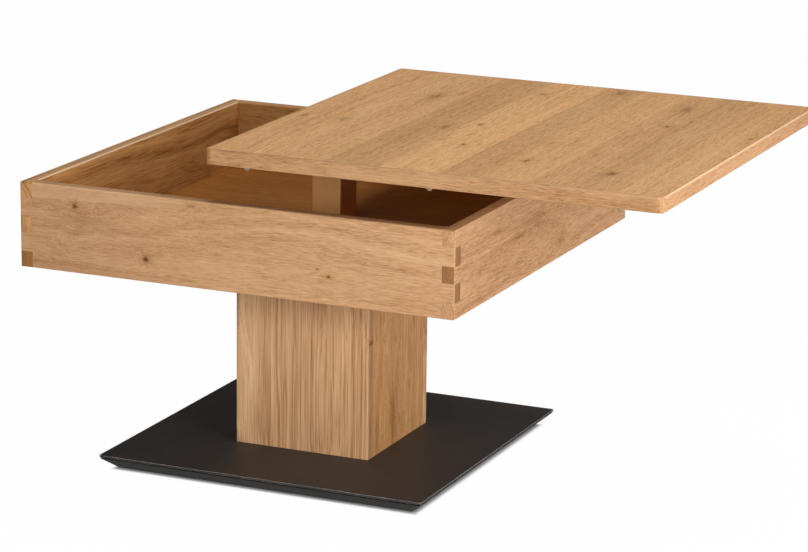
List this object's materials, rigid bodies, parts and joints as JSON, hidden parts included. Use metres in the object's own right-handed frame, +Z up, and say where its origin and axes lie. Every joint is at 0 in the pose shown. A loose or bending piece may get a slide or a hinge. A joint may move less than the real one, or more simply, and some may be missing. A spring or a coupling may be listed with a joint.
{
  "type": "coffee table",
  "caption": "Square oak pedestal coffee table: storage tray with finger-jointed corners, top on a lifting post that also slides sideways, black bevelled base.",
  "frame": {"origin": "on the floor, under the middle of the pedestal, which is also the middle of the tray", "axes": "+Z up; +X the way the top slides open (to the right in the picture); +Y from the front of the table to its back"},
  "size_m": [1.005, 0.7, 0.539],
  "materials": {
    "oak_boards": "brushed and oiled wild oak",
    "oak_lipping": "oiled oak lipping, grain along the edge",
    "oak_floor": "oiled oak board",
    "glue_block_wood": "plain sawn wood",
    "base_lacquer": "fibre board, matt black lacquer",
    "base_steel_black": "steel sheet, fine matt black powder coat",
    "glide_plastic": "moulded black plastic",
    "zinc_fasteners": "zinc plated",
    "black_steel": "black powder coat",
    "satin_steel_post": "satin stainless",
    "bright_steel": "ground bright steel",
    "black_nylon": "moulded black nylon",
    "rail_aluminium": "natural anodised extrusion",
    "clear_bumper": "clear polyurethane"
  },
  "bodies": {
    "base": {"floor_glides": "glide_plastic", "base_board": "base_lacquer", "base_cover": "base_steel_black", "base_bolts": "zinc_fasteners", "block_screws_low": "zinc_fasteners", "column_front": "oak_boards", "column_back": "oak_boards", "column_left": "oak_boards", "column_right": "oak_boards", "corner_blocks": "glue_block_wood", "block_screws_top": "zinc_fasteners", "guide_tube_foot": "black_steel", "guide_tube": "black_steel", "guide_tube_flange": "black_steel", "flange_screws": "zinc_fasteners", "upper_guide": "black_nylon", "release_head": "bright_steel", "release_head_screws": "zinc_fasteners", "piston_rod": "bright_steel", "rocker_pivot": "bright_steel", "cable_sheath": "black_nylon", "cable_ferrules": "zinc_fasteners", "cable_clips": "black_nylon", "lever_bracket": "black_steel", "lever_bracket_screws": "zinc_fasteners", "lever_pivot_bolt": "zinc_fasteners", "tray_front": "oak_boards", "tray_back": "oak_boards", "tray_left": "oak_boards", "tray_right": "oak_boards", "tray_floor": "oak_floor", "floor_collar": "black_nylon"},
    "lift": {"lift_post": "satin_steel_post", "lower_guide": "black_nylon", "head_plate": "black_steel", "spring_spacer": "zinc_fasteners", "gas_spring_cylinder": "black_steel", "rod_guide_seal": "black_nylon", "spring_nut": "zinc_fasteners", "carriage_arm_front": "black_steel", "carriage_arm_back": "black_steel", "carriage_crossbar": "black_steel", "carriage_bolts": "zinc_fasteners", "slide_shoes": "black_nylon", "shoe_screws": "zinc_fasteners"},
    "top": {"top_board": "oak_boards", "top_lipping_front": "oak_lipping", "top_lipping_back": "oak_lipping", "top_lipping_left": "oak_lipping", "top_lipping_right": "oak_lipping", "top_rails": "rail_aluminium", "rail_screws": "zinc_fasteners", "rail_stops": "black_nylon", "bumpers": "clear_bumper"},
    "hand_lever": {"release_lever": "black_steel", "lever_grip": "black_nylon"},
    "rocker": {"release_rocker": "bright_steel"},
    "valve_pin": {"release_pin": "bright_steel"},
    "wire_low": {"wire_end_rocker": "bright_steel"},
    "wire_high": {"wire_end_lever": "bright_steel"}
  },
  "joints": [
    {"name": "post_lift", "type": "slide", "parent": "base", "child": "lift", "axis": [0, 0, 1], "range_m": [-0.0502, 0.1098]},
    {"name": "top_slide", "type": "slide", "parent": "lift", "child": "top", "axis": [1, 0, 0], "range_m": [-0.305, 0]},
    {"name": "lever_swing", "type": "hinge", "parent": "base", "child": "hand_lever", "pos_m": [0, -0.285, 0.332], "axis": [0, 0, 1], "range_deg": [0, 10.8], "stiffness_Nm_per_rad": 0.5},
    {"name": "rocker_turn", "type": "hinge", "parent": "base", "child": "rocker", "pos_m": [0, -0.012, 0.044], "axis": [1, 0, 0], "range_deg": [0, 14.4]},
    {"name": "pin_push", "type": "slide", "parent": "base", "child": "valve_pin", "axis": [0, 0, 1], "range_m": [0, 0.00331]},
    {"name": "wire_low_pull", "type": "slide", "parent": "base", "child": "wire_low", "axis": [0, -1, 0], "range_m": [0, 0.00302]},
    {"name": "wire_high_pull", "type": "slide", "parent": "base", "child": "wire_high", "axis": [0, -1, 0], "range_m": [0, 0.00302]}
  ],
  "couplings": [
    {"joint": "rocker_turn", "follows": "lever_swing", "ratio": 1.3333},
    {"joint": "pin_push", "follows": "lever_swing", "m_per_rad": 0.01751},
    {"joint": "wire_low_pull", "follows": "lever_swing", "m_per_rad": 0.016},
    {"joint": "wire_high_pull", "follows": "lever_swing", "m_per_rad": 0.016}
  ]
}
